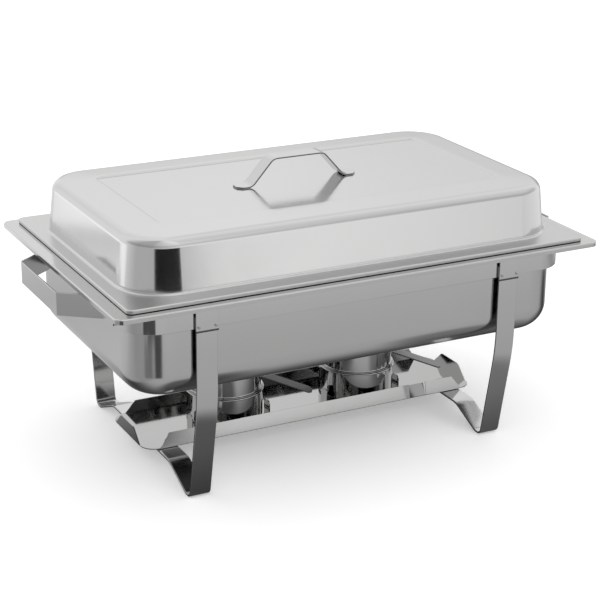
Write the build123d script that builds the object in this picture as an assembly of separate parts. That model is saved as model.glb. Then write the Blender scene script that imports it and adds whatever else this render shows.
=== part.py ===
from build123d import *
import math
import os

os.makedirs("parts", exist_ok=True)

# Driving dimensions, millimetres. X is the long side, +Y the rear, Z up, floor at Z = 0.
SHEET = 1.0                 # pressed sheet of lid, food pan and tray

# lid
LID_FLANGE = (534.0, 332.0)
LID_FLANGE_CORNER = 7.0
LID_FLANGE_TOP = 230.0
LID_SKIRT_BOTTOM = 226.0
DOME_BASE = (504.0, 290.0)
DOME_CORNER = 52.0
DOME_TOP = 286.6
DOME_DRAFT = 4.5            # how far the wall leans in up to the shoulder
SHOULDER_R = 15.0
PANEL = (403.0, 188.0)
PANEL_CENTRE = (2.0, 3.0)
PANEL_CORNER = 8.0
PANEL_DEPTH = 1.5
PANEL_STEP = 3.0            # width of the sloping step round the sunk panel

# lid handle
HANDLE_X = -3.5
HANDLE_WIDTH = 20.0
HANDLE_T = 2.0
HANDLE_TOP_HALF = 30.5
HANDLE_RISE_HALF = 56.0
HANDLE_FOOT_HALF = 72.5
HANDLE_TOP_Z = 315.5
HANDLE_BEND_R = 11.0
HANDLE_FOOT_CHAMFER = 5.5

# food pan
FOOD_FLANGE = (530.0, 325.0)
FOOD_BODY = (496.0, 288.0)
FOOD_CORNER = 42.0
FOOD_TOP = 228.7
FOOD_EDGE_BOTTOM = 225.7
FOOD_BOTTOM = 162.0
FOOD_TAPER = 4.0

# water pan
WATER_RIM = (564.6, 350.0)
WATER_RIM_CORNER = 10.0
WATER_RIM_R = 1.4
WATER_RIM_DROP = 5.2
WATER_BODY = (508.0, 299.0)
WATER_CORNER = 33.0
WATER_TOP = 225.3
WATER_BOTTOM = 118.5
WATER_BOTTOM_R = 29.0
WATER_T = 1.2

# frame bands
BAND_T = 1.5
BAND_GAP = 3.0              # play between the pan body and the band
BAND_BOTTOM = 194.8
BAND_TOP = 223.8
BAND_END_Y = 82.0           # each half band ends this far from the middle of the short side

# end handles
GRIP_T = 2.0
GRIP_BOTTOM = 193.5
GRIP_TOP = 218.0
GRIP_OUT = 300.5
GRIP_HALF = 54.0
GRIP_ROOT_HALF = 84.0
GRIP_TAB_END = 108.0
GRIP_RIVET_Y = 98.0

# legs
LEG_WIDTH = 23.2
LEG_T = 2.5
LEG_X = (-180.0, 177.0)
LEG_TOP = 207.0
FOOT_OUTER = 134.0            # outer and inner ends of the flat under each foot, before its bends
FOOT_INNER = 123.0
CROSS_HALF = 69.0
CROSS_BOTTOM = 17.9
SOCKET_BOTTOM = 191.4
SOCKET_RAMP_END = 215.5
SOCKET_TOP = 223.4
SOCKET_T = 1.2
LEG_RIVET_Z = 197.6
LEG_RIVET_DX = 9.3

# fuel tray
TRAY_X = 1.0
TRAY_HALF = 207.5
TRAY_HALF_Y = 52.0
TRAY_CORNER = 17.0
TRAY_BOTTOM = 20.8
TRAY_WALL_TOP = 36.8
TRAY_WALL_LEAN = 8.0
TRAY_WALL_HALF = (190.0, 178.5)   # half length of a side wall at its foot and at its top
TRAY_FLAP_TOP = 36.8
TRAY_FLAP_HALF = (34.0, 18.0)     # half width of an end flap at its foot and at its top
LUG_X = 133.0
LUG_WIDTH = 20.5
LUG_LENGTH = 14.5
LUG_LEAN = 28.0

# fuel holders
HOLDER_X = (-89.0, 79.0)
HOLDER_Y = 1.0
CUP_R = 42.8
CUP_T = 0.9
CUP_BOTTOM_R = 3.0
CUP_BOTTOM = TRAY_BOTTOM + SHEET + 0.3
CUP_TOP = 56.0
BEAD_R = 1.1
COVER_R = 41.0
COVER_FLANGE_R = 43.2
COVER_BOTTOM = CUP_TOP + BEAD_R + 0.3
COVER_TOP = 86.0
SPIGOT_R = 41.3
SPIGOT_DROP = 7.0
FLAME_HOLE_R = 22.0
DAMPER_R = 26.0
DAMPER_T = 1.0
DAMPER_PIVOT_R = 32.0
PIVOT_R = 1.8
COVER_HANDLE_LENGTH = 55.5
COVER_HANDLE_WIDTH = 17.0
COVER_HANDLE_T = 1.5
COVER_HANDLE_ANGLE = -30.0
COVER_HANDLE_DROP = 18.0
COVER_HANDLE_Z = 71.0
COVER_RIVET_Z = COVER_HANDLE_Z + 5.0
COVER_RIVET_DY = 6.0

# rivets of the frame and the covers
RIVET_R = 1.6
RIVET_HOLE_R = 1.65


ON_BASE = (Align.CENTER, Align.CENTER, Align.MIN)


def save(shape, node):
    export_step(shape, f"parts/{node}.step")


def slab(size, corner, z_low, z_high, centre=(0.0, 0.0)):
    """Rounded rectangular block between two heights."""
    plan = Pos(centre[0], centre[1], z_low) * RectangleRounded(size[0], size[1], corner)
    return extrude(plan, amount=z_high - z_low)


def grown(size, by):
    return (size[0] + 2 * by, size[1] + 2 * by)


def bent_strip(points, radii, width, thickness, plane):
    """Flat strip swept along a bent centre line that lies in the given plane."""
    path = plane * FilletPolyline(*points, radius=radii)
    start = Plane(origin=path @ 0, x_dir=plane.z_dir, z_dir=path % 0)
    return sweep(start * Rectangle(width, thickness), path=path)


def rivet(centre, axis, length, radius=RIVET_R, head_r=2.9, head_t=0.9):
    """Rivet with a domed head at its outer end; the axis points out of the head."""
    edge_z = head_t * 0.35
    shank = Polyline((0, -length), (radius, -length), (radius, 0), (head_r, 0), (head_r, edge_z))
    dome = Spline((head_r, edge_z), (head_r * 0.6, head_t * 0.85), (0, head_t))
    close = Line((0, head_t), (0, -length))
    face = Plane.XZ * make_face([*shank.edges(), *dome.edges(), *close.edges()])
    solid = revolve(face, axis=Axis.Z)
    return Plane(origin=centre, z_dir=axis) * solid


def dome_solid(inset):
    """Filled lid dome, inset all round by a sheet thickness."""
    base = grown(DOME_BASE, -inset)
    shoulder_z = DOME_TOP - SHOULDER_R
    height = shoulder_z - LID_FLANGE_TOP
    taper = math.degrees(math.atan(DOME_DRAFT / height))
    bottom = LID_FLANGE_TOP - SHEET - 1.0
    plan = Pos(0, 0, bottom) * RectangleRounded(base[0], base[1], DOME_CORNER - inset)
    body = extrude(plan, amount=DOME_TOP - inset - bottom, taper=taper)
    top_edges = body.faces().sort_by(Axis.Z)[-1].edges()
    return fillet(top_edges, SHOULDER_R - inset)


def sunk_panel(top_z):
    """Shallow tapered block that presses the top panel in."""
    outer = RectangleRounded(PANEL[0], PANEL[1], PANEL_CORNER)
    taper = math.degrees(math.atan(PANEL_STEP / PANEL_DEPTH))
    return extrude(Pos(*PANEL_CENTRE, top_z) * outer, amount=-PANEL_DEPTH, taper=taper)


def lid_shell():
    dome = dome_solid(0)
    dome -= sunk_panel(DOME_TOP)
    inner_cutter = dome_solid(SHEET)
    inner_cutter -= sunk_panel(DOME_TOP - SHEET + 0.001)
    flange = slab(LID_FLANGE, LID_FLANGE_CORNER, LID_SKIRT_BOTTOM, LID_FLANGE_TOP)
    rim_edges = flange.faces().sort_by(Axis.Z)[-1].edges()
    flange = fillet(rim_edges, 1.4)
    under = grown(LID_FLANGE, -SHEET)
    flange -= slab(under, LID_FLANGE_CORNER - SHEET, LID_SKIRT_BOTTOM - 1, LID_FLANGE_TOP - SHEET)
    lower_dome = dome & slab(grown(LID_FLANGE, 5), 5, LID_FLANGE_TOP - SHEET, DOME_TOP + 5)
    return flange + lower_dome - inner_cutter


def lid_handle():
    """Strip handle that rises and falls between two feet, which lie on the sunk panel."""
    foot_z = DOME_TOP - PANEL_DEPTH + HANDLE_T / 2
    top_z = HANDLE_TOP_Z - HANDLE_T / 2
    half = [(HANDLE_FOOT_HALF, foot_z), (HANDLE_RISE_HALF, foot_z), (HANDLE_TOP_HALF, top_z)]
    points = [(-x, z) for x, z in half] + [(x, z) for x, z in reversed(half)]
    strip = bent_strip(points, [HANDLE_BEND_R] * 4, HANDLE_WIDTH, HANDLE_T, Plane.XZ)
    end_edges = strip.edges().filter_by(Axis.Z).group_by(Axis.X)
    strip = chamfer([*end_edges[0], *end_edges[-1]], HANDLE_FOOT_CHAMFER)
    return Pos(HANDLE_X, 0, 0) * strip


def food_pan():
    def body(inset):
        size = grown(FOOD_BODY, -inset)
        plan = Pos(0, 0, FOOD_TOP) * RectangleRounded(size[0], size[1], FOOD_CORNER - inset)
        solid = extrude(plan, amount=-(FOOD_TOP - FOOD_BOTTOM - inset), taper=FOOD_TAPER)
        return fillet(solid.faces().sort_by(Axis.Z)[0].edges(), 14.0 - inset)

    flange = slab(FOOD_FLANGE, 12.0, FOOD_EDGE_BOTTOM, FOOD_TOP)
    flange -= slab(grown(FOOD_FLANGE, -SHEET), 11.0, FOOD_EDGE_BOTTOM - 1, FOOD_TOP - SHEET)
    shell = flange + body(0)
    return shell - body(SHEET)


def water_pan():
    def body(inset, top):
        block = slab(grown(WATER_BODY, -inset), WATER_CORNER - inset, WATER_BOTTOM + inset, top)
        return fillet(block.faces().sort_by(Axis.Z)[0].edges(), WATER_BOTTOM_R - inset)

    rim = slab(WATER_RIM, WATER_RIM_CORNER, WATER_TOP - WATER_RIM_DROP, WATER_TOP)
    rim = fillet(rim.faces().sort_by(Axis.Z)[-1].edges(), WATER_RIM_R)
    under = grown(WATER_RIM, -WATER_T)
    hollow = slab(under, WATER_RIM_CORNER - WATER_T, WATER_TOP - 20, WATER_TOP - WATER_T)
    return (rim - hollow + body(0, WATER_TOP)) - body(WATER_T, WATER_TOP + 5)


def band_ring(z_low, z_high):
    inner = grown(WATER_BODY, BAND_GAP)
    outer = grown(inner, BAND_T)
    ring = slab(outer, WATER_CORNER + BAND_GAP + BAND_T, z_low, z_high)
    return ring - slab(inner, WATER_CORNER + BAND_GAP, z_low - 1, z_high + 1)


def band_outer_half():
    return (WATER_BODY[0] / 2 + BAND_GAP + BAND_T, WATER_BODY[1] / 2 + BAND_GAP + BAND_T)


def half_band(side):
    """One half of the ring, side -1 at the front and +1 at the rear, drilled for its rivets."""
    reach = 400.0
    keep = Pos(0, side * (BAND_END_Y + reach / 2), BAND_TOP) * Box(800, reach, 200)
    band = band_ring(BAND_BOTTOM, BAND_TOP) & keep
    half_x, half_y = band_outer_half()
    for x in LEG_X:
        for dx in (-LEG_RIVET_DX, LEG_RIVET_DX):
            place = Pos(x + dx, side * half_y, LEG_RIVET_Z) * Rot(90, 0, 0)
            band -= place * Cylinder(RIVET_HOLE_R, 12)
    for end in (-1, 1):
        for z in grip_rivet_heights():
            place = Pos(end * half_x, side * GRIP_RIVET_Y, z) * Rot(0, 90, 0)
            band -= place * Cylinder(RIVET_HOLE_R, 12)
    return band


def grip_rivet_heights():
    middle = (max(GRIP_BOTTOM, BAND_BOTTOM) + GRIP_TOP) / 2
    return (middle - 5.0, middle + 5.0)


def end_handle(side):
    """Strip loop at one short end, side -1 left and +1 right."""
    root_x = band_outer_half()[0] + GRIP_T / 2
    out_x = GRIP_OUT - GRIP_T / 2
    half = [(root_x, GRIP_TAB_END), (root_x, GRIP_ROOT_HALF), (out_x, GRIP_HALF)]
    points = [(side * x, -y) for x, y in half] + [(side * x, y) for x, y in reversed(half)]
    middle = Plane.XY.offset((GRIP_BOTTOM + GRIP_TOP) / 2)
    strip = bent_strip(points, [4.0, 3.0, 3.0, 4.0], GRIP_TOP - GRIP_BOTTOM, GRIP_T, middle)
    for y in (-GRIP_RIVET_Y, GRIP_RIVET_Y):
        for z in grip_rivet_heights():
            strip -= Pos(side * root_x, y, z) * Rot(0, 90, 0) * Cylinder(RIVET_HOLE_R, 12)
    return strip


def grip_rivets():
    head_x = band_outer_half()[0] + GRIP_T
    length = GRIP_T + BAND_T
    solids = []
    for side in (-1, 1):
        for y in (-GRIP_RIVET_Y, GRIP_RIVET_Y):
            for z in grip_rivet_heights():
                solids.append(rivet((side * head_x, y, z), (side, 0, 0), length))
    return Compound(children=solids)


def leg_strip(x):
    """W-shaped strip: front leg, foot, rise, cross bar, rise, foot and rear leg."""
    top_y = band_outer_half()[1] + LEG_T / 2
    half = [
        (top_y, LEG_TOP),
        (top_y, 112.0),
        (top_y - 11.0, 55.0),
        (FOOT_OUTER, LEG_T / 2),
        (FOOT_INNER, LEG_T / 2),
        (CROSS_HALF + 12.0, CROSS_BOTTOM + LEG_T / 2),
    ]
    points = [(-y, z) for y, z in half] + [(y, z) for y, z in reversed(half)]
    radii = [220.0, 160.0, 7.0, 12.0, 30.0]
    strip = bent_strip(points, radii + radii[::-1], LEG_WIDTH, LEG_T, Plane.YZ.offset(x))
    for side in (-1, 1):
        for dx in (-LEG_RIVET_DX, LEG_RIVET_DX):
            place = Pos(x + dx, side * top_y, LEG_RIVET_Z) * Rot(90, 0, 0)
            strip -= place * Cylinder(RIVET_HOLE_R, 12)
    return strip


def leg_socket(x, side):
    """Clip over a leg top: it stands off the band by the leg's thickness and ramps in above it."""
    band_y = band_outer_half()[1]
    in_y = band_y + SOCKET_T / 2 + 0.02
    out_y = band_y + LEG_T + SOCKET_T / 2 + 0.05
    points = [
        (side * out_y, SOCKET_BOTTOM),
        (side * out_y, LEG_TOP + 0.6),
        (side * in_y, SOCKET_RAMP_END),
        (side * in_y, SOCKET_TOP),
    ]
    clip = bent_strip(points, [1.2, 1.2], LEG_WIDTH + 1.6, SOCKET_T, Plane.YZ.offset(x))
    for dx in (-LEG_RIVET_DX, LEG_RIVET_DX):
        clip -= Pos(x + dx, side * out_y, LEG_RIVET_Z) * Rot(90, 0, 0) * Cylinder(RIVET_HOLE_R, 6)
    return clip


def leg_sockets():
    return Compound(children=[leg_socket(x, side) for x in LEG_X for side in (-1, 1)])


def leg_rivets():
    head_y = band_outer_half()[1] + LEG_T + SOCKET_T + 0.05
    length = head_y - WATER_BODY[1] / 2 - BAND_GAP
    solids = []
    for x in LEG_X:
        for side in (-1, 1):
            for dx in (-LEG_RIVET_DX, LEG_RIVET_DX):
                centre = (x + dx, side * head_y, LEG_RIVET_Z)
                solids.append(rivet(centre, (0, side, 0), length, head_r=1.9, head_t=0.7))
    return Compound(children=solids)


def standing_sheet(plane, foot_half, top_half, reach):
    """Trapezoid of sheet in a plane, from its foot on the plane's origin up to its top edge."""
    corners = [(-foot_half, 0), (foot_half, 0), (top_half, reach), (-top_half, reach)]
    face = make_face(Polyline(*corners, close=True))
    return extrude(plane * face, amount=SHEET / 2, both=True)


def tray_wall(side):
    """Long side wall that leans inwards a little, side -1 front and +1 rear."""
    lean = math.radians(TRAY_WALL_LEAN)
    origin = (0, side * (TRAY_HALF_Y - SHEET / 2), TRAY_BOTTOM + 0.1)
    plane = Plane(origin=origin, x_dir=(1, 0, 0), z_dir=(0, -math.cos(lean), -side * math.sin(lean)))
    return standing_sheet(plane, *TRAY_WALL_HALF, TRAY_WALL_TOP - TRAY_BOTTOM)


def end_flap(side):
    """Upright flap at one short end, side -1 left and +1 right."""
    origin = (side * (TRAY_HALF - SHEET / 2), 0, TRAY_BOTTOM)
    plane = Plane(origin=origin, x_dir=(0, 1, 0), z_dir=(1, 0, 0))
    return standing_sheet(plane, *TRAY_FLAP_HALF, TRAY_FLAP_TOP - TRAY_BOTTOM)


def front_lug(x):
    """Lug cut out of the front wall and leant inwards."""
    lean = math.radians(LUG_LEAN)
    origin = (x, -TRAY_HALF_Y + SHEET / 2, TRAY_BOTTOM + SHEET / 2)
    plane = Plane(origin=origin, x_dir=(1, 0, 0), z_dir=(0, -math.cos(lean), math.sin(lean)))
    return standing_sheet(plane, LUG_WIDTH / 2, LUG_WIDTH / 2, LUG_LENGTH)


def fuel_tray():
    tray = slab((2 * TRAY_HALF, 2 * TRAY_HALF_Y), TRAY_CORNER, TRAY_BOTTOM, TRAY_BOTTOM + SHEET)
    lug_x = LUG_X - TRAY_X
    notch_z = TRAY_BOTTOM + SHEET + 0.6
    for side in (-1, 1):
        tray += tray_wall(side)
        tray += end_flap(side)
    tray -= Pos(lug_x, -TRAY_HALF_Y, notch_z) * Box(LUG_WIDTH + 1.5, 4, 40, align=ON_BASE)
    tray += front_lug(lug_x)
    for holder_x in HOLDER_X:
        for stop in (-1, 1):
            x = holder_x - TRAY_X + stop * (CUP_R + 4.5)
            tray += Pos(x, HOLDER_Y - 12, TRAY_BOTTOM + 7.5) * Box(SHEET, 14, 15)
    return Pos(TRAY_X, 0, 0) * tray


def holder_cup(x):
    outer = Pos(0, 0, CUP_BOTTOM) * Cylinder(CUP_R, CUP_TOP - CUP_BOTTOM, align=ON_BASE)
    outer = fillet(outer.edges().sort_by(Axis.Z)[0], CUP_BOTTOM_R)
    inner = Pos(0, 0, CUP_BOTTOM + CUP_T) * Cylinder(CUP_R - CUP_T, 60, align=ON_BASE)
    inner = fillet(inner.edges().sort_by(Axis.Z)[0], CUP_BOTTOM_R - CUP_T)
    bead = Pos(0, 0, CUP_TOP) * Torus(CUP_R - CUP_T / 2 + 0.8, BEAD_R)
    return Pos(x, HOLDER_Y, 0) * ((outer - inner) + bead)


def holder_cover(x):
    """Drum cover with a flame hole, a flange on the cup's bead and a spigot inside the cup."""
    def ring(r_out, r_in, z_low, z_high):
        tube = Cylinder(r_out, z_high - z_low, align=ON_BASE)
        tube -= Cylinder(r_in, 3 * (z_high - z_low))
        return Pos(0, 0, z_low) * tube

    drum = ring(COVER_R, COVER_R - CUP_T, COVER_BOTTOM, COVER_TOP)
    drum += ring(COVER_R, FLAME_HOLE_R, COVER_TOP - CUP_T, COVER_TOP)
    drum += ring(COVER_FLANGE_R, COVER_R - CUP_T, COVER_BOTTOM, COVER_BOTTOM + CUP_T)
    drum += ring(SPIGOT_R - 0.3, SPIGOT_R - 0.3 - CUP_T, COVER_BOTTOM - SPIGOT_DROP, COVER_BOTTOM + CUP_T)
    drum -= Pos(0, DAMPER_PIVOT_R, COVER_TOP) * Cylinder(PIVOT_R + 0.05, 6)
    drum -= handle_rivet_holes()
    return Pos(x, HOLDER_Y, 0) * drum


def handle_rivet_holes():
    holes = []
    for dy in (-COVER_RIVET_DY, COVER_RIVET_DY):
        hole = Pos(COVER_R, dy, COVER_RIVET_Z) * Rot(0, 90, 0) * Cylinder(RIVET_HOLE_R, 12)
        holes.append(Rot(0, 0, COVER_HANDLE_ANGLE) * hole)
    return holes


def cover_handle(x):
    """Strip riveted to the drum: a short upright tab, then the grip that slopes down and out."""
    slope = math.radians(COVER_HANDLE_DROP)
    start_r = COVER_R + COVER_HANDLE_T / 2 + 0.9
    end_r = start_r + COVER_HANDLE_LENGTH
    end_z = COVER_HANDLE_Z - COVER_HANDLE_LENGTH * math.tan(slope)
    points = [(start_r, COVER_HANDLE_Z + 9.0), (start_r, COVER_HANDLE_Z), (end_r, end_z)]
    strip = bent_strip(points, [2.5], COVER_HANDLE_WIDTH, COVER_HANDLE_T, Plane.XZ)
    end_edges = strip.edges().filter_by(lambda e: e.length < 2.0 and e.center().X > end_r - 3.0)
    strip = fillet(end_edges, 6.0)
    drum = Cylinder(COVER_R + 0.02, 400)
    for dy in (-COVER_RIVET_DY, COVER_RIVET_DY):
        strip -= Pos(start_r, dy, COVER_RIVET_Z) * Rot(0, 90, 0) * Cylinder(RIVET_HOLE_R, 12)
    strip -= drum
    return Pos(x, HOLDER_Y, 0) * Rot(0, 0, COVER_HANDLE_ANGLE) * strip


def cover_handle_rivets(x):
    head_r = COVER_R + COVER_HANDLE_T + 0.9
    length = 3.2
    solids = []
    for dy in (-COVER_RIVET_DY, COVER_RIVET_DY):
        solid = rivet((head_r, dy, COVER_RIVET_Z), (1, 0, 0), length)
        solids.append(Pos(x, HOLDER_Y, 0) * Rot(0, 0, COVER_HANDLE_ANGLE) * solid)
    return Compound(children=solids)


def damper(x):
    """Plate that swings over the flame hole, with a turned-up finger lug."""
    z_low = COVER_TOP + 0.3
    plate = Pos(0, 0, z_low) * Cylinder(DAMPER_R, DAMPER_T, align=ON_BASE)
    ear = Pos(0, DAMPER_PIVOT_R, z_low) * Cylinder(5.0, DAMPER_T, align=ON_BASE)
    neck = Pos(0, DAMPER_PIVOT_R / 2 + 6, z_low + DAMPER_T / 2) * Box(10, DAMPER_PIVOT_R - 12, DAMPER_T)
    lug = Pos(0, -DAMPER_R + 0.8, z_low + 4.0) * Box(10, DAMPER_T, 8.0)
    shape = plate + ear + neck + lug
    shape -= Pos(0, DAMPER_PIVOT_R, z_low) * Cylinder(PIVOT_R + 0.05, 6)
    return Pos(x, HOLDER_Y, 0) * shape


def damper_rivet(x):
    head_z = COVER_TOP + 0.3 + DAMPER_T + 0.3
    length = head_z - (COVER_TOP - CUP_T)
    foot = Pos(0, 0, -length - 0.8) * Cylinder(3.2, 0.8, align=ON_BASE)
    solid = rivet((0, 0, 0), (0, 0, 1), length, PIVOT_R, 3.4, 1.0) + foot
    return Pos(x, HOLDER_Y + DAMPER_PIVOT_R, head_z) * solid


save(lid_shell(), "lid_shell")
save(lid_handle(), "lid_handle")
save(food_pan(), "food_pan")
save(water_pan(), "water_pan")
save(half_band(-1), "front_band")
save(half_band(1), "rear_band")
save(end_handle(-1), "left_end_handle")
save(end_handle(1), "right_end_handle")
save(grip_rivets(), "end_handle_rivets")
save(leg_strip(LEG_X[0]), "left_leg_strip")
save(leg_strip(LEG_X[1]), "right_leg_strip")
save(leg_sockets(), "leg_sockets")
save(leg_rivets(), "leg_rivets")
save(fuel_tray(), "fuel_tray")
for name, holder_x in zip(("left", "right"), HOLDER_X):
    save(holder_cup(holder_x), f"{name}_holder_cup")
    save(holder_cover(holder_x), f"{name}_holder_cover")
    save(cover_handle(holder_x), f"{name}_cover_handle")
    save(cover_handle_rivets(holder_x), f"{name}_cover_handle_rivets")
    save(damper(holder_x), f"{name}_damper")
    save(damper_rivet(holder_x), f"{name}_damper_rivet")
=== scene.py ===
import math

import bmesh
import bpy
from mathutils import Matrix, Vector


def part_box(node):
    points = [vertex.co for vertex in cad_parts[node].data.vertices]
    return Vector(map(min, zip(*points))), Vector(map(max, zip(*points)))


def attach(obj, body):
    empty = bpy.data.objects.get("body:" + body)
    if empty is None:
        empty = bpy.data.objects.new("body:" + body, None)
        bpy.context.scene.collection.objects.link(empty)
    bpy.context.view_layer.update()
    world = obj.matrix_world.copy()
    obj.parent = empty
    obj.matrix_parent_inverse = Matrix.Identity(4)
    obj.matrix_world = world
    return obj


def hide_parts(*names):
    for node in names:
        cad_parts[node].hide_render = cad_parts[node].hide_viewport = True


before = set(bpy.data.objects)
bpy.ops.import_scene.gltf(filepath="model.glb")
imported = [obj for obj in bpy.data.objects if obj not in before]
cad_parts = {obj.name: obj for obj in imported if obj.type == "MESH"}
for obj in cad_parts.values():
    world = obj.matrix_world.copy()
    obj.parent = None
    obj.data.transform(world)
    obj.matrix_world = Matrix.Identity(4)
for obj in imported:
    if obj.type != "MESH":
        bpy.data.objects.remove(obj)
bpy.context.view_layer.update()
mm = 0.001
DEGREE = math.radians(1)
SIDES = ("left", "right")


# ---------------------------------------------------------------- camera

CAMERA_TURN = (-27.52, 20.17, 0.63)  # azimuth, elevation and roll in degrees
CAMERA_PLACE = (-0.81334, -1.57009, 0.79379)
CAMERA_LENS = 100.64


def make_camera():
    azimuth, elevation, roll = (math.radians(a) for a in CAMERA_TURN)
    back = Vector((
        math.sin(azimuth) * math.cos(elevation),
        -math.cos(azimuth) * math.cos(elevation),
        math.sin(elevation),
    ))
    right = (-back).cross(Vector((0, 0, 1))).normalized()
    up = right.cross(-back)
    tilted_right = right * math.cos(roll) + up * math.sin(roll)
    tilted_up = up * math.cos(roll) - right * math.sin(roll)
    data = bpy.data.cameras.new("camera")
    data.lens = CAMERA_LENS
    data.sensor_width = 36.0
    data.clip_start = 0.05
    data.clip_end = 100.0
    camera = bpy.data.objects.new("camera", data)
    bpy.context.scene.collection.objects.link(camera)
    turn = Matrix((tilted_right, tilted_up, back)).transposed().to_4x4()
    camera.matrix_world = Matrix.Translation(CAMERA_PLACE) @ turn
    bpy.context.scene.camera = camera


make_camera()


# ---------------------------------------------------------------- materials

class Nodes:
    """Short calls for building a node tree."""

    def __init__(self, tree):
        self.tree = tree
        tree.nodes.clear()

    def add(self, kind, inputs=None, **settings):
        node = self.tree.nodes.new(kind)
        for key, value in settings.items():
            setattr(node, key, value)
        for key, value in (inputs or {}).items():
            self.put(node.inputs[key], value)
        return node

    def put(self, socket, value):
        if isinstance(value, bpy.types.NodeSocket):
            self.tree.links.new(value, socket)
        else:
            socket.default_value = value

    def math(self, operation, *values):
        node = self.add("ShaderNodeMath", operation=operation)
        for socket, value in zip(node.inputs, values):
            self.put(socket, value)
        return node.outputs[0]

    def times(self, a, b):
        return self.math("MULTIPLY", a, b)

    def less(self, value, share):
        """The value with a share of it taken away."""
        return self.times(value, self.math("SUBTRACT", 1.0, share))

    def distance(self, x, y):
        return self.math("SQRT", self.math("ADD", self.times(x, x), self.times(y, y)))

    def noise(self, place, scale, detail, roughness=0.5):
        return self.add("ShaderNodeTexNoise", {
            "Vector": place, "Scale": scale, "Detail": detail, "Roughness": roughness,
        }).outputs["Fac"]

    def span(self, value, low, high, out_low=0.0, out_high=1.0, smooth=False):
        """Map low..high to out_low..out_high, clamped."""
        node = self.add("ShaderNodeMapRange", clamp=True)
        if smooth:
            node.interpolation_type = "SMOOTHSTEP"
        keys = ("Value", "From Min", "From Max", "To Min", "To Max")
        for key, v in zip(keys, (value, low, high, out_low, out_high)):
            self.put(node.inputs[key], v)
        return node.outputs["Result"]

    def levels(self, value, stops, low, high):
        """Piecewise linear curve through (value, level) stops."""
        most = max(level for _, level in stops)
        ramp = self.add("ShaderNodeValToRGB", {"Fac": self.span(value, low, high)})
        elements = ramp.color_ramp.elements
        places = [((at - low) / (high - low), (*[level / most] * 3, 1)) for at, level in stops]
        ends = zip((elements[0], elements[1]), (places[0], places[-1]))
        for element, (position, colour) in ends:
            element.position = position
            element.color = colour
        for position, colour in places[1:-1]:
            elements.new(position).color = colour
        return self.times(ramp.outputs["Color"], most)

    def window(self, value, low, high, soft):
        """1 between low and high, 0 outside, with soft edges."""
        rise = self.span(value, low - soft / 2, low + soft / 2, smooth=True)
        fall = self.span(value, high - soft / 2, high + soft / 2, 1.0, 0.0, smooth=True)
        return self.times(rise, fall)


GRAIN_SCALE = 1500.0
SMUDGE_SCALE = 14.0
WAVE_SCALE = 5.0
UNPOLISHED = 0.16  # added to the roughness where the sheet was left unpolished


def steel(name, colour, rough, grain=(1, 1, 1), line=0.5, haze=0.04, wave=0.0, dull_below=None):
    """Stainless sheet: fine grain lines, soft smudges in the gloss and a slight waviness.

    grain holds how much finer the lines are along each axis, line their depth, haze how far the
    roughness wanders, wave the height of the slow waviness in the bump, and dull_below the height
    under which the sheet was left unpolished."""
    material = bpy.data.materials.new(name)
    material.use_nodes = True
    n = Nodes(material.node_tree)
    place = n.add("ShaderNodeTexCoord").outputs["Object"]
    stretched = n.add("ShaderNodeMapping", {"Vector": place, "Scale": grain}).outputs["Vector"]
    lines = n.noise(stretched, GRAIN_SCALE, 2.0)
    smudge = n.noise(place, SMUDGE_SCALE, 5.0, 0.6)
    slow = n.noise(place, WAVE_SCALE, 1.0)
    gloss = n.span(smudge, 0.3, 0.7, rough - haze, rough + haze)
    gloss = n.math("ADD", gloss, n.times(n.math("SUBTRACT", lines, 0.5), haze * 1.5))
    if dull_below:
        height = n.add("ShaderNodeSeparateXYZ", {0: place}).outputs["Z"]
        dull = n.span(height, dull_below, dull_below + 2 * mm, 1.0, 0.0)
        gloss = n.math("ADD", gloss, n.times(dull, UNPOLISHED))
    tone = n.add("ShaderNodeMix", data_type="RGBA")
    n.put(tone.inputs[0], n.span(smudge, 0.25, 0.75))
    n.put(tone.inputs[6], (*[c * 0.975 for c in colour], 1))
    n.put(tone.inputs[7], (*colour, 1))
    relief = n.math("ADD", n.times(lines, line * 0.02), n.times(slow, wave))
    bump = n.add("ShaderNodeBump", {"Height": relief, "Strength": 1.0, "Distance": 0.001})
    shader = n.add("ShaderNodeBsdfPrincipled", {
        "Base Color": tone.outputs[2], "Metallic": 1.0, "Roughness": gloss,
        "Normal": bump.outputs["Normal"],
    })
    out = n.add("ShaderNodeOutputMaterial", {"Surface": shader.outputs["BSDF"]})
    out.is_active_output = True
    return material


LID = steel("lid_satin", (0.66, 0.66, 0.655), 0.14, grain=(0.03, 1, 1),
            line=0.25, haze=0.02, wave=0.04, dull_below=0.2305)
PAN = steel("pan_satin", (0.63, 0.63, 0.625), 0.15, grain=(0.03, 1, 1),
            line=0.3, haze=0.02, wave=0.03)
STRIP = steel("frame_polish", (0.64, 0.64, 0.635), 0.11, grain=(1, 1, 0.05),
              line=0.25, haze=0.02, wave=0.03)
SHEET = steel("tray_polish", (0.47, 0.47, 0.465), 0.09, grain=(0.05, 1, 1),
              line=0.2, haze=0.02, wave=0.03)
CHROME = steel("holder_polish", (0.62, 0.62, 0.615), 0.08, line=0.05, haze=0.015)
# Dark grey steel for the cover grips.
GRIP = steel("grip_dark_steel", (0.20, 0.20, 0.197), 0.2, grain=(1, 1, 0.1), line=0.25)
# Cut edges: rougher, and darkened as painted shade along the thin edge faces and under the leg
# clips.
EDGE_SHADE = steel("sheared_edge_painted_shade", (0.13, 0.13, 0.128), 0.35, line=0.6, haze=0.05)
RIVET = steel("rivet_steel", (0.5, 0.5, 0.495), 0.22, line=0.2)


# ---------------------------------------------------------------- objects

class Box:
    """A CAD node's box: its two corners, its middle and its half size."""

    def __init__(self, node):
        self.low, self.high = (Vector(c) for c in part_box(node))
        self.mid = (self.low + self.high) / 2
        self.half = (self.high - self.low) / 2

    def inner_outer(self, side):
        """The corners nearer to and further from the dish's middle, for a part on one side."""
        return (self.low, self.high)[::side]


def new_object(name, mesh):
    obj = bpy.data.objects.new(name, mesh)
    bpy.context.scene.collection.objects.link(obj)
    return obj


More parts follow.
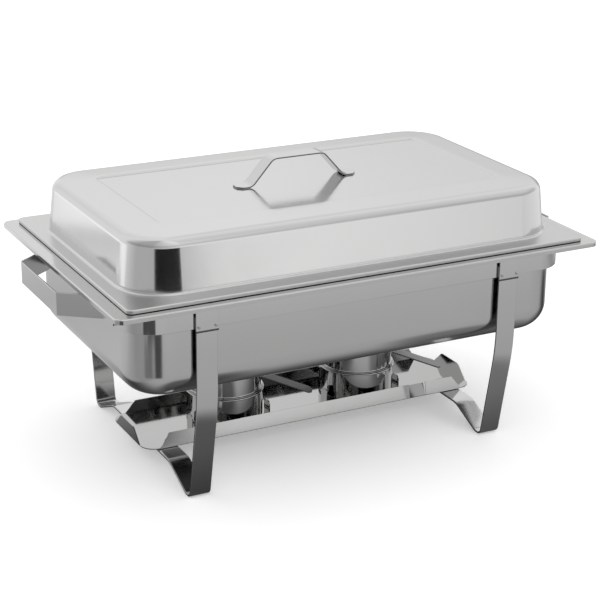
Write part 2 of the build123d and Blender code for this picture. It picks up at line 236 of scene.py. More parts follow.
def settle(obj, body, node):
    """Even out the shading, hang the piece on its body and hide the CAD node it stands for."""
    normals = obj.modifiers.new("normals", "WEIGHTED_NORMAL")
    normals.keep_sharp = True
    normals.weight = 80
    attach(obj, body)
    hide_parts(node)


def piece(name, verts, faces, material, body, node, sharp=40.0, shaded_edges=()):
    """A mesh for a CAD node. The faces numbered in shaded_edges get rougher steel, darkened as
    painted shade.
    """
    mesh = bpy.data.meshes.new(name)
    mesh.from_pydata([tuple(v) for v in verts], [], faces)
    for number in shaded_edges:
        mesh.polygons[number].material_index = 1
    work = bmesh.new()
    work.from_mesh(mesh)
    bmesh.ops.remove_doubles(work, verts=work.verts, dist=1e-6)
    bmesh.ops.recalc_face_normals(work, faces=work.faces)
    for face in work.faces:
        face.smooth = True
    work.to_mesh(mesh)
    work.free()
    mesh.set_sharp_from_angle(angle=math.radians(sharp))
    mesh.materials.append(material)
    if shaded_edges:
        mesh.materials.append(EDGE_SHADE)
    settle(new_object(name, mesh), body, node)


# ---------------------------------------------------------------- mesh helpers

CORNER_STEPS = 16    # round each corner of a rounded rectangle
SIDE_STEPS = (8, 5)  # along its long and its short sides
EDGE_STEPS = 3       # round each edge of a strip's section
LATHE_STEPS = 128    # round a turned part
LONGEST = 30 * mm    # between two sections on a straight run of a strip
SAME = 0.04 * mm     # sections nearer than this are one
SHARPEST = 2e-4      # least corner radius on the inner face of a sheet


def arc_points(centre, radius, start, end, step):
    """Points of an arc in a plane, both ends included, angles in degrees."""
    count = max(2, math.ceil(abs(end - start) / step))
    angles = [math.radians(start + (end - start) * i / count) for i in range(count + 1)]
    return [(centre[0] + radius * math.cos(a), centre[1] + radius * math.sin(a)) for a in angles]


def rounded_ring(half_x, half_y, radius, z, centre):
    """One loop of a rounded rectangle; every loop has the same number of points."""
    radius = max(radius, 1e-5)
    core_x, core_y = half_x - radius, half_y - radius
    corners = ((core_x, core_y), (-core_x, core_y), (-core_x, -core_y), (core_x, -core_y))

    def on_corner(number, degrees):
        x, y = corners[number]
        a = math.radians(90 * number + degrees)
        return x + radius * math.cos(a), y + radius * math.sin(a)

    points = []
    for number in range(4):
        points += [on_corner(number, 90 * i / CORNER_STEPS) for i in range(CORNER_STEPS + 1)]
        last, first = points[-1], on_corner((number + 1) % 4, 0)
        steps = SIDE_STEPS[number % 2]
        for i in range(1, steps):
            t = i / steps
            points.append((last[0] + (first[0] - last[0]) * t, last[1] + (first[1] - last[1]) * t))
    return [Vector((centre[0] + x, centre[1] + y, z)) for x, y in points]


def bridge_pair(a, b, count):
    return [(a + i, a + (i + 1) % count, b + (i + 1) % count, b + i) for i in range(count)]


def bridge_rings(rings, closed=False):
    """Vertices and quads of a loft through loops of equal length."""
    count = len(rings[0])
    verts = [p for ring in rings for p in ring]
    faces = []
    for r in range(len(rings) - 1):
        faces += bridge_pair(r * count, (r + 1) * count, count)
    if closed:
        faces += bridge_pair((len(rings) - 1) * count, 0, count)
    return verts, faces


def merged(parts):
    """One list of vertices and faces from several."""
    verts, faces = [], []
    for v, f in parts:
        base = len(verts)
        verts += v
        faces += [tuple(base + i for i in face) for face in f]
    return verts, faces


def lathe(profile, centre):
    """Closed surface of revolution; a profile point on the axis becomes a pole."""
    verts, faces, rows = [], [], []
    for r, z in profile:
        if r < 1e-7:
            rows.append([len(verts)] * LATHE_STEPS)
            verts.append(Vector((centre.x, centre.y, z)))
            continue
        rows.append(list(range(len(verts), len(verts) + LATHE_STEPS)))
        for i in range(LATHE_STEPS):
            a = 2 * math.pi * i / LATHE_STEPS
            verts.append(Vector((centre.x + r * math.cos(a), centre.y + r * math.sin(a), z)))
    pairs = list(zip(rows, rows[1:]))
    if profile[0][0] > 1e-7:
        pairs.append((rows[-1], rows[0]))
    for low, high in pairs:
        for i in range(LATHE_STEPS):
            j = (i + 1) % LATHE_STEPS
            corners = tuple(dict.fromkeys((low[i], low[j], high[j], high[i])))
            if len(corners) > 2:
                faces.append(corners)
    return verts, faces


# ---------------------------------------------------------------- pressed sheet
#
# A pressed part is described by stations (half x, half y, corner radius, z) from its free edge
# to the middle of its flat.

def moved_out(station, out, z):
    """The station's loop moved outwards in plan, at another height."""
    return station[0] + out, station[1] + out, station[2] + out, z


def fillet_stations(wall_end, radius, flange_z, up, angles):
    """The fillet from a flange into a wall that goes up (1) or down (-1) from it."""
    result = []
    for angle in angles:
        a = math.radians(angle)
        off = radius - radius * math.cos(a)
        result.append(moved_out(wall_end, radius - radius * math.sin(a), flange_z + up * off))
    return result


def wall_stations(wall, start_z, end_z, steps=4):
    return [wall(start_z + (end_z - start_z) * i / steps) for i in range(1, steps + 1)]


def bend_reach(radius, slope):
    """How far a bend reaches along the wall and the flat from the corner between them."""
    return radius * math.tan((math.pi / 2 - slope) / 2)


def bend_stations(corner, radius, slope, up, steps):
    """The bend from a wall into the flat above (1) or below (-1) it."""
    first = math.degrees(slope)
    result = []
    for i in range(1, steps + 1):
        a = math.radians(first + (90 - first) * i / steps)
        inset = bend_reach(radius, slope) - radius * math.cos(a)
        result.append(moved_out(corner, -inset, corner[3] - up * (radius - radius * math.sin(a))))
    return result


def flat_stations(last, reach, shares):
    """Loops on the flat, closer and closer to its middle."""
    return [(last[0] - reach * t, last[1] - reach * t, max(last[2] * (1 - t), 2e-3), last[3])
            for t in shares]


def profile_normals(stations):
    """Normals (in plan, up) of a profile, on the left of its way from the free edge inwards."""
    result = []
    for i in range(len(stations)):
        before = stations[max(i - 1, 0)]
        after = stations[min(i + 1, len(stations) - 1)]
        dx = ((after[0] - before[0]) + (after[1] - before[1])) / 2
        dz = after[3] - before[3]
        length = math.hypot(dx, dz) or 1.0
        result.append((dz / length, -dx / length))
    return result


def pressed(name, stations, thickness, centres, material, body, node):
    """Thin shell: one face runs through the stations about their centres, the other lies a
    thickness against their normals."""
    other = []
    for (hx, hy, r, z), (nx, nz) in zip(stations, profile_normals(stations)):
        off = thickness * nx
        other.append((hx - off, hy - off, max(r - off, SHARPEST), z - thickness * nz))
    places = zip(stations + other[::-1], centres + centres[::-1])
    rings = [rounded_ring(*station, centre) for station, centre in places]
    count = len(rings[0])
    verts, faces = bridge_rings(rings, closed=True)
    middle = (len(stations) - 1) * count
    bridge = set(bridge_pair(middle, middle + count, count))
    faces = [f for f in faces if f not in bridge]
    faces.append(tuple(middle + i for i in range(count)))
    faces.append(tuple(middle + count + i for i in reversed(range(count))))
    piece(name, verts, faces, material, body, node)


# ---------------------------------------------------------------- bent strip

def path_parts(points, radii):
    """Lines and tangent arcs of a rounded polyline, as (kind, length, data)."""
    pts = [Vector(p) for p in points]
    parts = []
    start = pts[0]
    for i, radius in enumerate(radii, start=1):
        into = (pts[i - 1] - pts[i]).normalized()
        out = (pts[i + 1] - pts[i]).normalized()
        half = into.angle(out) / 2
        reach = radius / math.tan(half)
        first, last = pts[i] + into * reach, pts[i] + out * reach
        centre = pts[i] + (into + out).normalized() * (radius / math.sin(half))
        turn = math.pi - 2 * half
        way = 1.0 if (-into).x * out.y - (-into).y * out.x > 0 else -1.0
        parts.append(("line", (first - start).length, (start, (first - start).normalized())))
        parts.append(("arc", radius * turn, (centre, first - centre, way / radius, turn)))
        start = last
    parts.append(("line", (pts[-1] - start).length, (start, (pts[-1] - start).normalized())))
    return parts


def path_at(parts, s):
    """Point and unit tangent at a length along the path."""
    number = 0
    while s > parts[number][1] and number < len(parts) - 1:
        s -= parts[number][1]
        number += 1
    kind, _, data = parts[number]
    if kind == "line":
        return data[0] + data[1] * s, data[1]
    centre, arm, rate, _ = data
    c, v = math.cos(rate * s), math.sin(rate * s)
    turned = Vector((arm.x * c - arm.y * v, arm.x * v + arm.y * c))
    tangent = Vector((-turned.y, turned.x)).normalized() * (1 if rate > 0 else -1)
    return centre + turned, tangent


def path_stops(parts, step):
    """Lengths along the path where a section is wanted, step in degrees on the arcs."""
    stops, s = [0.0], 0.0
    for kind, length, data in parts:
        if kind == "arc":
            count = max(2, math.ceil(math.degrees(data[3]) / step))
        else:
            count = max(1, math.ceil(length / LONGEST))
        stops += [s + length * (i + 1) / count for i in range(count)]
        s += length
    return stops


def flat_section(half_w, half_t, edge):
    """Rounded rectangle (across, through) of a strip."""
    edge = min(edge, half_w * 0.9, half_t * 0.9)
    loop = []
    for sx, sy, start in ((1, 1, 0), (-1, 1, 90), (-1, -1, 180), (1, -1, 270)):
        for i in range(EDGE_STEPS + 1):
            a = math.radians(start + 90 * i / EDGE_STEPS)
            loop.append((sx * (half_w - edge) + edge * math.cos(a),
                         sy * (half_t - edge) + edge * math.sin(a)))
    return loop


def strip_mesh(points, radii, width, thickness, place, edge=0.4 * mm, end_cut=0.0, shadow_band=0.0,
               step=3.0):
    """Flat bar bent along a planar path: vertices, faces and the number of points in a section.

    place maps (path x, path y, across) to the frame. The end corners are cut off at 45 degrees
    by end_cut, and there is a section at the length shadow_band, where a painted shadow band can
    end."""
    parts = path_parts(points, radii)
    total = sum(part[1] for part in parts)
    tip = edge * 0.8
    stops = {*path_stops(parts, step), tip, tip * 0.3, end_cut, shadow_band,
             total - tip, total - tip * 0.3, total - end_cut}
    ordered = []
    for s in sorted(stops):
        if 0 <= s <= total and (not ordered or s - ordered[-1] > SAME or s == total):
            ordered.append(s)
    rings = []
    for s in ordered:
        from_end = min(s, total - s)
        cut = 0.0
        if from_end < tip:
            cut = tip - math.sqrt(max(tip ** 2 - (tip - from_end) ** 2, 0.0))
        half_w = width / 2 - max(end_cut - from_end, 0.0) - cut
        point, tangent = path_at(parts, s)
        normal = Vector((-tangent.y, tangent.x))
        ring = []
        for across, through in flat_section(half_w, thickness / 2 - cut, edge):
            flat = point + normal * through
            ring.append(place(flat.x, flat.y, across))
        rings.append(ring)
    verts, faces = bridge_rings(rings)
    count = len(rings[0])
    faces.append(tuple(reversed(range(count))))
    faces.append(tuple((len(rings) - 1) * count + i for i in range(count)))
    return verts, faces, count


def strip(name, material, body, node, *shape, **details):
    """A bent strip, shaped as strip_mesh says, whose cut sides and ends are rougher and darkened
    with painted shade.
    """
    verts, faces, count = strip_mesh(*shape, **details)
    sides = (count - 1, count // 2 - 1)
    cut = [i for i, face in enumerate(faces) if len(face) > 4 or i % count in sides]
    piece(name, verts, faces, material, body, node, sharp=50.0, shaded_edges=cut)


def level_at(z):
    """Place for a path in plan, the strip on edge about a height."""
    return lambda x, y, across: Vector((x, y, z + across))


def upright_at(centre, angle=0.0):
    """Place for a path (out, z) in an upright plane through a centre, turned by an angle."""
    along = Vector((math.cos(angle), math.sin(angle)))
    sideways = Vector((-along.y, along.x))
    return lambda out, z, across: Vector((centre.x + along.x * out + sideways.x * across,
                                          centre.y + along.y * out + sideways.y * across, z))


def leg_at(x, y, side=1):
    """Place for a path (to the rear, z), or to the front with side -1."""
    return lambda along, z, across: Vector((x + across, y + side * along, z))


# ---------------------------------------------------------------- lid

def lid():
    box = Box("lid_shell")
    half, mid, top = box.half, box.mid, box.high.z
    flange_top = box.low.z + 4.0 * mm
    shoulder = top - 0.6 * mm
    edge, foot, bend = 1.4 * mm, 3.0 * mm, 11.5 * mm  # radii
    flange_corner = 7 * mm
    base = (half.x - 15 * mm, half.y - 21 * mm, 52 * mm)  # half size and corner of the wall
    lean = 4.5 / 41.6  # inwards by height
    slope = math.atan(lean)

    def wall(z):
        return moved_out(base, -(z - flange_top + 2 * mm) * lean, z)

    def on_flange(inset, z):
        return half.x - inset, half.y - inset, max(flange_corner - inset, 1e-3), z

    stations = [on_flange(0.2 * mm, box.low.z), on_flange(0.0, box.low.z + 0.25 * mm)]
    stations += [on_flange(edge - x, z)
                 for x, z in arc_points((0, flange_top - edge), edge, 0, 90, 15)]
    stations += fillet_stations(wall(flange_top + foot), foot, flange_top, 1, range(0, 85, 7))
    bend_start = shoulder - bend_reach(bend, slope) * math.cos(slope)
    stations += wall_stations(wall, flange_top + foot, bend_start)
    stations += bend_stations(wall(shoulder), bend, slope, 1, 18)

    # The border rises slightly to the rim of the sunk panel, whose middle is off the lid's.
    panel = (201.5 * mm, 94 * mm, 9 * mm)
    panel_depth, rim, rim_width = 1.5 * mm, 0.5 * mm, 2.5 * mm
    shift = (2.0 * mm, 3.0 * mm)
    centres = [(mid.x, mid.y)] * len(stations)
    last = stations[-1]
    border_end = 0.9
    for t in (0.25, 0.5, 0.75, border_end):
        loop = [last[k] + (panel[k] + 2 * mm - last[k]) * t for k in range(3)]
        stations.append((*loop, shoulder + (top - shoulder) * min(t / border_end, 1.0)))
        centres.append((mid.x + shift[0] * t, mid.y + shift[1] * t))
    rim_steps = 10
    for i in range(rim_steps + 1):
        t = i / rim_steps
        fall = t * t * (3 - 2 * t)
        stations.append(moved_out(panel, rim - rim_width * t, top - panel_depth * fall))
    stations += flat_stations(stations[-1], 90 * mm, (0.25, 0.5, 0.75))
    centres += [(mid.x + shift[0], mid.y + shift[1])] * (len(stations) - len(centres))
    pressed("lid_dome", stations, 1.0 * mm, centres, LID, "lid", "lid_shell")


def lid_handle():
    box = Box("lid_handle")
    t = 2.0 * mm
    foot, crown = box.low.z + t / 2, box.high.z - t / 2
    points = [(-box.half.x, foot), (-56 * mm, foot), (-30.5 * mm, crown)]
    points += [(-x, z) for x, z in reversed(points)]
    strip("lid_handle_bar", STRIP, "lid", "lid_handle", points, [11 * mm] * 4, 2 * box.half.y, t,
          upright_at(box.mid), edge=0.5 * mm, end_cut=5.5 * mm)


lid()
lid_handle()


# ---------------------------------------------------------------- pans

def pan(node, thickness, edge_r, edge_drop, flange_corner, body, lean, lip, bottom_r):
    """A pan that hangs from its flange; the stations are its upper and inner face.

    edge_r and edge_drop shape the flange's edge, body is the half size and corner radius at the
    top, lean the wall's, lip and bottom_r the radii at the wall's two ends."""
    box = Box(node)
    half, top, bottom = box.half, box.high.z, box.low.z + thickness
    slope = math.atan(lean)

    def wall(z):
        return moved_out(body, -(top - z) * lean, z)

    start = 0.1 * mm
    stations = [(half.x - start, half.y - start, flange_corner, top - edge_drop)]
    for x, z in arc_points((0, top - edge_r), edge_r, 0, 90, 9):
        stations.append(moved_out((half.x, half.y, flange_corner), x - edge_r, z))
    stations += fillet_stations(wall(top - lip), lip, top, -1, range(0, 90, 6))
    bend_start = bottom + bend_reach(bottom_r, slope) * math.cos(slope)
    stations += wall_stations(wall, top - lip, bend_start)
    stations += bend_stations(wall(bottom), bottom_r, slope, -1, 16)
    stations += flat_stations(stations[-1], 100 * mm, (0.3, 0.6))
    centres = [(box.mid.x, box.mid.y)] * len(stations)
    pressed(f"{node}_sheet", stations, thickness, centres, PAN, node, node)


pan("food_pan", 1.0 * mm, edge_r=1.2 * mm, edge_drop=3.0 * mm, flange_corner=12 * mm,
    body=(247 * mm, 143 * mm, 41 * mm), lean=math.tan(math.radians(4)), lip=4 * mm,
    bottom_r=13 * mm)
pan("water_pan", 1.2 * mm, edge_r=1.4 * mm, edge_drop=5.2 * mm, flange_corner=10 * mm,
    body=(252.8 * mm, 148.3 * mm, 42.8 * mm), lean=0.0005, lip=3 * mm, bottom_r=27.8 * mm)


# ---------------------------------------------------------------- stand

def bands():
    t = 1.5 * mm
    radius = 36.0 * mm + t / 2
    for side, node in ((-1, "front_band"), (1, "rear_band")):
        box = Box(node)
        inner, outer = box.inner_outer(side)
        x = box.half.x - t / 2
        y = outer.y - side * t / 2
        points = [(-x, inner.y), (-x, y), (x, y), (x, inner.y)]
        strip(f"{node}_bar", STRIP, "frame", node, points, [radius] * 2, 2 * box.half.z, t,
              level_at(box.mid.z))


def end_handles():
    t = 2.0 * mm
    root_y, grip_y = 84 * mm, 54 * mm
    for side, name in ((-1, "left"), (1, "right")):
        node = f"{name}_end_handle"
        box = Box(node)
        inner, outer = box.inner_outer(side)
        root, grip = inner.x + side * t / 2, outer.x - side * t / 2
        points = [(root, -box.half.y), (root, -root_y), (grip, -grip_y)]
        points += [(x, -y) for x, y in reversed(points)]
        strip(f"{node}_bar", STRIP, "frame", node, points, [4 * mm, 3 * mm, 3 * mm, 4 * mm],
              2 * box.half.z, t, level_at(box.mid.z), edge=0.5 * mm)


def legs():
    """One strip for each end: leg, foot, cross bar, foot and leg."""
    t = 2.5 * mm
    sole = t / 2
    bar = 17.9 * mm + t / 2
    radii = [220 * mm, 160 * mm, 7 * mm, 12 * mm, 30 * mm]
    for name in SIDES:
        node = f"{name}_leg_strip"
        box = Box(node)
        top_y = box.half.y - t / 2
        arm = [(top_y, box.high.z), (top_y, 112 * mm), (top_y - 11 * mm, 55 * mm),
               (134 * mm, sole), (123 * mm, sole), (81 * mm, bar)]
        points = [(-y, z) for y, z in arm] + [(y, z) for y, z in reversed(arm)]
        strip(f"{node}_bar", STRIP, "frame", node, points, radii + radii[::-1], 2 * box.half.x, t,
              leg_at(box.mid.x, box.mid.y), edge=0.6 * mm, step=2.0)


def leg_clips():
    """The raised clips round the leg tops, with a painted shadow band along the lower edge."""
    box = Box("leg_sockets")
    t = 1.2 * mm
    width, shadow_band = 24.8 * mm, 2.2 * mm
    ramp = (214.3 * mm, 215.5 * mm)
    out_y = box.half.y - t / 2
    in_y = out_y - 2.53 * mm
    points = [(out_y, box.low.z), (out_y, ramp[0]), (in_y, ramp[1]), (in_y, box.high.z)]
    parts = []
    for name in SIDES:
        x = Box(f"{name}_leg_strip").mid.x
        for side in (-1, 1):
            parts.append(strip_mesh(points, [1.2 * mm] * 2, width, t, leg_at(x, 0.0, side),
                                    shadow_band=shadow_band)[:2])
    verts, faces = merged(parts)
    # The lowest band of each clip gets the dark edge steel: a painted shadow line under the clip.
    shadow_top = box.low.z + shadow_band + 0.05 * mm
    rough = [i for i, face in enumerate(faces) if max(verts[k].z for k in face) < shadow_top]
    piece("leg_clips", verts, faces, STRIP, "frame", "leg_sockets", sharp=50.0,
          shaded_edges=rough)


bands()
end_handles()
legs()
leg_clips()


# ---------------------------------------------------------------- fuel tray

def fuel_tray():
    """The tray's sheet, folded from flat faces in the middle of its thickness."""
    box = Box("fuel_tray")
    mid = box.mid
    t = 1.0 * mm
    z0, zt = box.low.z + t / 2, box.high.z - 0.2 * mm
    end_x, wall_y = box.half.x - t / 2, box.half.y - t / 2
    corner = 17.0 * mm
    foot_x, foot_y = end_x - corner, wall_y - corner
    top_x = 178.5 * mm
    top_y = wall_y - (zt - z0) * math.tan(math.radians(13.0))
    lug_x = 133.0 * mm - mid.x
    notch = (lug_x - 11.0 * mm, lug_x + 11.0 * mm)
    work = bmesh.new()

    def polygon(points):
        work.faces.new([work.verts.new((mid.x + x, mid.y + y, z)) for x, y, z in points])

    # floor, rear wall, and front wall in two runs beside the notch
    outline = []
    for sx, sy, start in ((1, 1, 0), (-1, 1, 90), (-1, -1, 180), (1, -1, 270)):
        outline += arc_points((sx * foot_x, sy * foot_y), corner, start, start + 90, 9)
    to_front = len(outline) * 3 // 4
    outline[to_front:to_front] = [(notch[0], -wall_y), (notch[1], -wall_y)]
    polygon([(x, y, z0) for x, y in outline])
    walls = ((1, -foot_x, foot_x, top_x, -top_x), (-1, -foot_x, notch[0], notch[0], -top_x),
             (-1, notch[1], foot_x, top_x, notch[1]))
    for side, foot_a, foot_b, top_b, top_a in walls:
        polygon([(foot_a, side * wall_y, z0), (foot_b, side * wall_y, z0),
                 (top_b, side * top_y, zt), (top_a, side * top_y, zt)])

    # end flaps with rounded upper corners
    flap_y, round_off = 18.0 * mm, 2.5 * mm
    shoulder = flap_y + (foot_y - flap_y) / (zt - z0) * round_off
    for end in (-1, 1):
        x = end * end_x
        rim = []
        for side in (1, -1):
            bend = [(side * shoulder, zt - round_off), (side * (flap_y + 0.2 * mm), zt - 0.7 * mm),
                    (side * (flap_y - round_off), zt)]
            rim += bend[::side]
        polygon([(x, -foot_y, z0), (x, foot_y, z0)] + [(x, y, z) for y, z in rim])
    bmesh.ops.remove_doubles(work, verts=work.verts, dist=1e-5)

    # the lug leans inwards from the notch
    lean, reach, wide = math.radians(28.0), 14.5 * mm, 10.25 * mm
    root = -wall_y + 0.4 * mm
    tip_y, tip_z = root + reach * math.sin(lean), z0 + reach * math.cos(lean)
    polygon([(lug_x - wide, root, z0), (lug_x + wide, root, z0),
             (lug_x + wide, tip_y, tip_z), (lug_x - wide, tip_y, tip_z)])

    # stop tabs on both sides of each holder
    tab = [(-7 * mm, 0.0), (7 * mm, 0.0), (7 * mm, 11 * mm), (4 * mm, 14 * mm),
           (-4 * mm, 14 * mm), (-7 * mm, 11 * mm)]
    for name in SIDES:
        cup = Box(f"{name}_holder_cup").mid
        for stop in (-1, 1):
            x, y = cup.x - mid.x + stop * 47.3 * mm, cup.y - mid.y - 12.0 * mm
            polygon([(x, y + along, z0 + up) for along, up in tab])
    bmesh.ops.recalc_face_normals(work, faces=work.faces)
    for face in work.faces:
        face.smooth = True
    mesh = bpy.data.meshes.new("fuel_tray_sheet")
    work.to_mesh(mesh)
    work.free()
    mesh.materials.append(SHEET)
    obj = new_object("fuel_tray_sheet", mesh)
    bends = obj.modifiers.new("bends", "BEVEL")
    bends.width, bends.segments, bends.angle_limit = 1.3 * mm, 4, math.radians(25)
    bends.use_clamp_overlap = True
    solid = obj.modifiers.new("sheet", "SOLIDIFY")
    solid.thickness, solid.offset = t, 0.0
    solid.use_even_offset = True
    edges = obj.modifiers.new("edges", "BEVEL")
    edges.width, edges.segments, edges.angle_limit = 0.25 * mm, 2, math.radians(60)
    settle(obj, "tray", "fuel_tray")


fuel_tray()


# ---------------------------------------------------------------- fuel holders

HOLDER_SHEET = 0.9 * mm


def holder_cup(name):
    """Cup with a rolled wire edge."""
    box = Box(f"{name}_holder_cup")
    t, bottom = HOLDER_SHEET, box.low.z
    r, bend, bead = 42.8 * mm, 3.0 * mm, 1.1 * mm
    bead_z = box.high.z - bead
    bend_at = (r - bend, bottom + bend)
    profile = [(0.0, bottom)] + arc_points(bend_at, bend, -90, 0, 15)
    profile.append((r, bead_z - 1.7 * mm))
    profile += arc_points((box.half.x - bead, bead_z), bead, -120, 170, 20)
    profile.append((r - t, bead_z - 1.5 * mm))
    profile += arc_points(bend_at, bend - t, 0, -90, 15) + [(0.0, bottom + t)]
    verts, faces = lathe(profile, box.mid)
    piece(f"{name}_cup", verts, faces, CHROME, f"{name}_holder", f"{name}_holder_cup")


def holder_cover(name):
    """Drum above the rolled edge, with a spigot in the cup and a hole for the flame."""
    box = Box(f"{name}_holder_cover")
    t, low, high = HOLDER_SHEET, box.low.z, box.high.z
    flange_z = low + 7.0 * mm
    drum, bend, hole = 41.0 * mm, 1.8 * mm, 22.0 * mm
    bend_at = (drum - bend, high - bend)
    profile = [(drum - t, low), (drum, low), (drum, flange_z), (box.half.x, flange_z)]
    profile += arc_points((box.half.x - t / 2, flange_z + t / 2), t / 2, -60, 90, 30)
    profile += [(drum + 1.0 * mm, flange_z + t), (drum + 0.3 * mm, flange_z + t + 0.3 * mm),
                (drum, flange_z + t + 1.0 * mm)]
    profile += arc_points(bend_at, bend, 0, 90, 15)
    profile += [(hole + 0.3 * mm, high), (hole, high - 0.3 * mm), (hole, high - t)]
    profile += arc_points(bend_at, bend - t, 90, 0, 15)
    profile += [(drum - t, flange_z + 0.4 * mm), (drum - t, flange_z)]
    verts, faces = lathe(profile, box.mid)
    piece(f"{name}_drum", verts, faces, CHROME, f"{name}_cover", f"{name}_holder_cover")


def cover_grip(name):
    """Handle strip on the cover, from a short upright down and out to the front right."""
    start_r, reach, z = 42.65 * mm, 55.5 * mm, 71.0 * mm
    end_z = z - reach * math.tan(math.radians(18.0))
    points = [(start_r, z + 9 * mm), (start_r, z), (start_r + reach, end_z)]
    place = upright_at(Box(f"{name}_holder_cover").mid, math.radians(-30.0))
    strip(f"{name}_cover_grip", GRIP, f"{name}_cover", f"{name}_cover_handle", points,
          [2.5 * mm], 17 * mm, 1.5 * mm, place, end_cut=4 * mm)


for side_name in SIDES:
    holder_cup(side_name)
    holder_cover(side_name)
    cover_grip(side_name)


# ---------------------------------------------------------------- carried-over CAD nodes

CARRIED = {"end_handle_rivets": RIVET, "leg_rivets": RIVET}
for side_name in SIDES:
    CARRIED[f"{side_name}_cover_handle_rivets"] = RIVET
    CARRIED[f"{side_name}_damper_rivet"] = RIVET
    CARRIED[f"{side_name}_damper"] = CHROME
for node_name, finish in CARRIED.items():
    node_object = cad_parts[node_name]
    node_object.data.materials.clear()
    node_object.data.materials.append(finish)


# ---------------------------------------------------------------- floor

FLOOR_REACH = 1.2  # range of the two curves below, in metres to the rear
FLOOR_UNDER = (
    (-1.05, 0.78), (-0.9, 0.72), (-0.55, 0.55), (-0.36, 0.52), (-0.25, 0.50), (-0.20, 0.44),
    (-0.175, 0.35), (-0.145, 0.24), (-0.115, 0.14), (-0.06, 0.06), (0.0, 0.08), (0.10, 0.30),
    (0.25, 0.60), (0.5, 0.58), (1.05, 0.85),
)
FLOOR_BESIDE = (
    (-1.05, 0.78), (-0.55, 0.50), (-0.40, 0.40), (-0.15, 0.38), (0.0, 0.50), (0.10, 0.62),
    (0.25, 0.66), (0.5, 0.58), (0.66, 0.66), (0.78, 1.05), (0.87, 0.84), (1.05, 0.66),
)
UNDER = (-0.37, 0.8, 0.06)  # where along x the first curve holds: from, to and softness
# Fans of shade about a point under the left front corner: azimuth from, to and softness in
# degrees, and distance from, to and softness. The outer fan has no far end.
CORNER = (-0.235, -0.14)
OUTER_FAN, OUTER_START = (-53, -15, 3), (0.46, 0.49)
INNER_FAN, INNER_RANGE = (-34.5, -15, 3), (0.25, 0.485, 0.02)
DIM_FAN, DIM_RANGE = (-64, -41.5, 4), (0.25, 0.475, 0.02)
FAN_SHADE, DIM_SHADE = 0.84, 0.45
# Spots of shade beside the front feet: x, y and depth.
SPOTS = ((-0.155, -0.19, 0.72), (0.205, -0.195, 0.5))
SPOT_START, SPOT_END = 0.05, 0.12


def stage_plane(name, reach, height, shader_of):
    """Large level plane with its own shader."""
    mesh = bpy.data.meshes.new(name)
    corners = [(-reach, -reach, 0), (reach, -reach, 0), (reach, reach, 0), (-reach, reach, 0)]
    mesh.from_pydata(corners, [], [(0, 1, 2, 3)])
    material = bpy.data.materials.new(name)
    material.use_nodes = True
    n = Nodes(material.node_tree)
    n.add("ShaderNodeOutputMaterial", {"Surface": shader_of(n)})
    mesh.materials.append(material)
    plane = new_object(name, mesh)
    plane.location.z = height
    return plane


def white_floor(n):
    paint = n.add("ShaderNodeBsdfDiffuse", {"Color": (0.93, 0.93, 0.93, 1)})
    glow = n.add("ShaderNodeEmission", {"Color": (1, 1, 1, 1), "Strength": 0.33})
    return n.add("ShaderNodeAddShader", {0: paint.outputs[0], 1: glow.outputs[0]}).outputs[0]


def mirrored_floor(n):
    """The level falls off near the dish and in fans of shade before its left front corner."""
    place = n.add("ShaderNodeTexCoord").outputs["Object"]
    x, y, _ = n.add("ShaderNodeSeparateXYZ", {0: place}).outputs
    beside = n.math("SUBTRACT", 1.0, n.window(x, *UNDER))
    level = n.math("ADD", n.less(n.levels(y, FLOOR_UNDER, -FLOOR_REACH, FLOOR_REACH), beside),
                   n.times(n.levels(y, FLOOR_BESIDE, -FLOOR_REACH, FLOOR_REACH), beside))
    right = n.math("ADD", x, -CORNER[0])
    ahead = n.times(n.math("ADD", y, -CORNER[1]), -1.0)
    turn = n.math("DIVIDE", n.math("ARCTAN2", right, ahead), DEGREE)
    far = n.distance(right, ahead)
    outer = n.times(n.window(turn, *OUTER_FAN), n.span(far, *OUTER_START))
    inner = n.times(n.window(turn, *INNER_FAN), n.window(far, *INNER_RANGE))
    dim = n.times(n.window(turn, *DIM_FAN), n.window(far, *DIM_RANGE))
    shade = n.math("MAXIMUM", n.times(n.math("MAXIMUM", outer, inner), FAN_SHADE),
                   n.times(dim, DIM_SHADE))
    for spot_x, spot_y, depth in SPOTS:
        off = n.distance(n.math("SUBTRACT", x, spot_x), n.math("SUBTRACT", y, spot_y))
        spot = n.span(off, SPOT_START, SPOT_END, depth, 0.0, smooth=True)
        shade = n.math("MAXIMUM", shade, spot)
    return n.add("ShaderNodeEmission", {
        "Color": (1, 1, 1, 1), "Strength": n.less(level, shade),
    }).outputs[0]


def make_floor():
    """White floor for the camera, and a plane that only the steel mirrors."""
    floor = stage_plane("floor", 9.0, -0.3 * mm, white_floor)
    floor.visible_glossy = False
    below = stage_plane("mirrored_floor", 1.05, -0.5 * mm, mirrored_floor)
    below.visible_camera = False
    below.visible_diffuse = False
    below.visible_shadow = False


make_floor()


# ---------------------------------------------------------------- studio

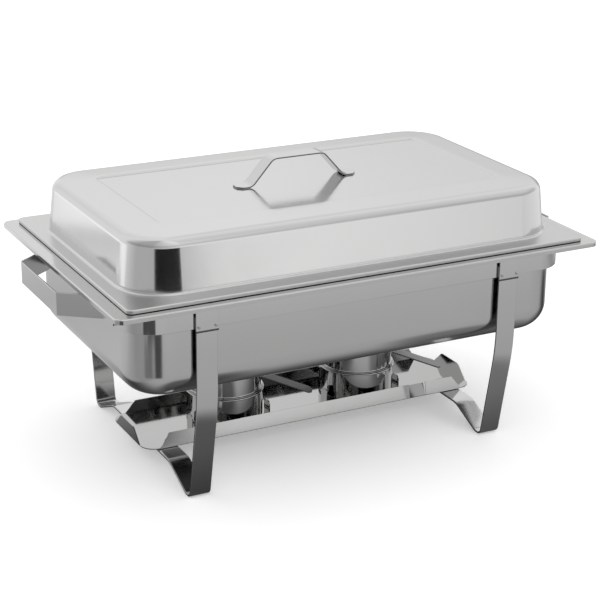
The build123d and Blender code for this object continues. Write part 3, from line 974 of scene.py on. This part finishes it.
# Levels by direction in degrees: the azimuth is 0 in front, and positive to the right.
LEVEL_BY_HEIGHT = ((-90, 0.30), (-20, 0.85), (-9, 0.98), (90, 1.0))
LEVEL_ROUND = (
    (-180, 1.0), (-163, 0.93), (-161, 0.93), (-158, 1.0), (-125, 1.0), (-103, 0.75), (-87, 0.58),
    (-46, 0.58), (-41, 0.7), (23, 1.20), (27, 1.10), (31, 1.02), (36, 0.88), (60, 0.95),
    (100, 1.05), (142, 0.92), (148, 0.96), (154, 1.04), (162, 1.01), (180, 1.0),
)
CEILING = ((0, 0.0), (8, 0.0), (17, 0.36), (27, 0.30), (38, 0.12), (60, 0.05), (88, 0.0))
CEILING_ROUND = (-120, 100, 20)
# Patches: azimuth from, to and softness, elevation from, to and softness, and strength.
LAMP = (-159.2, -116, 3), (-60, -4, 6), 0.33
OPENING = (-41, 21, 2), (-18, 4, 3), 0.985
DIM_REAR = (120, 166, 6), (-30, 11, 14), 0.5


def make_world():
    """Soft studio: light walls, a greyer ceiling, a lamp low at the rear left, a low dark opening
    in front and a dim patch at the rear right. The steel mirrors all this; the camera and the
    diffuse light meet nothing darker than white."""
    world = bpy.data.worlds.new("studio")
    bpy.context.scene.world = world
    world.use_nodes = True
    n = Nodes(world.node_tree)
    aim = n.add("ShaderNodeTexCoord").outputs["Generated"]
    x, y, z = n.add("ShaderNodeSeparateXYZ", {0: aim}).outputs
    turn = n.math("ARCTAN2", x, n.times(y, -1.0))
    tilt = n.math("ARCSINE", z)
    turn_degrees, tilt_degrees = n.math("DIVIDE", turn, DEGREE), n.math("DIVIDE", tilt, DEGREE)

    def window(angle, limits):
        return n.window(angle, *(limit * DEGREE for limit in limits))

    def patch(across, up, strength):
        return n.times(n.times(window(turn, across), window(tilt, up)), strength)

    level = n.times(n.levels(tilt_degrees, LEVEL_BY_HEIGHT, -90.0, 90.0),
                    n.levels(turn_degrees, LEVEL_ROUND, -180.0, 180.0))
    level = n.times(level, n.math("ADD", 1.0, patch(*LAMP)))
    level = n.less(level, patch(*OPENING))
    level = n.less(level, patch(*DIM_REAR))
    ceiling = n.levels(tilt_degrees, CEILING, 0.0, 90.0)
    level = n.less(level, n.times(window(turn, CEILING_ROUND), ceiling))
    path = n.add("ShaderNodeLightPath").outputs
    plain = n.math("MAXIMUM", path["Is Camera Ray"], path["Is Diffuse Ray"])
    shown = n.math("MAXIMUM", level, plain)
    back = n.add("ShaderNodeBackground", {"Color": (1, 1, 1, 1), "Strength": shown})
    n.add("ShaderNodeOutputWorld", {"Surface": back.outputs[0]})


make_world()
bpy.context.scene.view_settings.view_transform = "Standard"
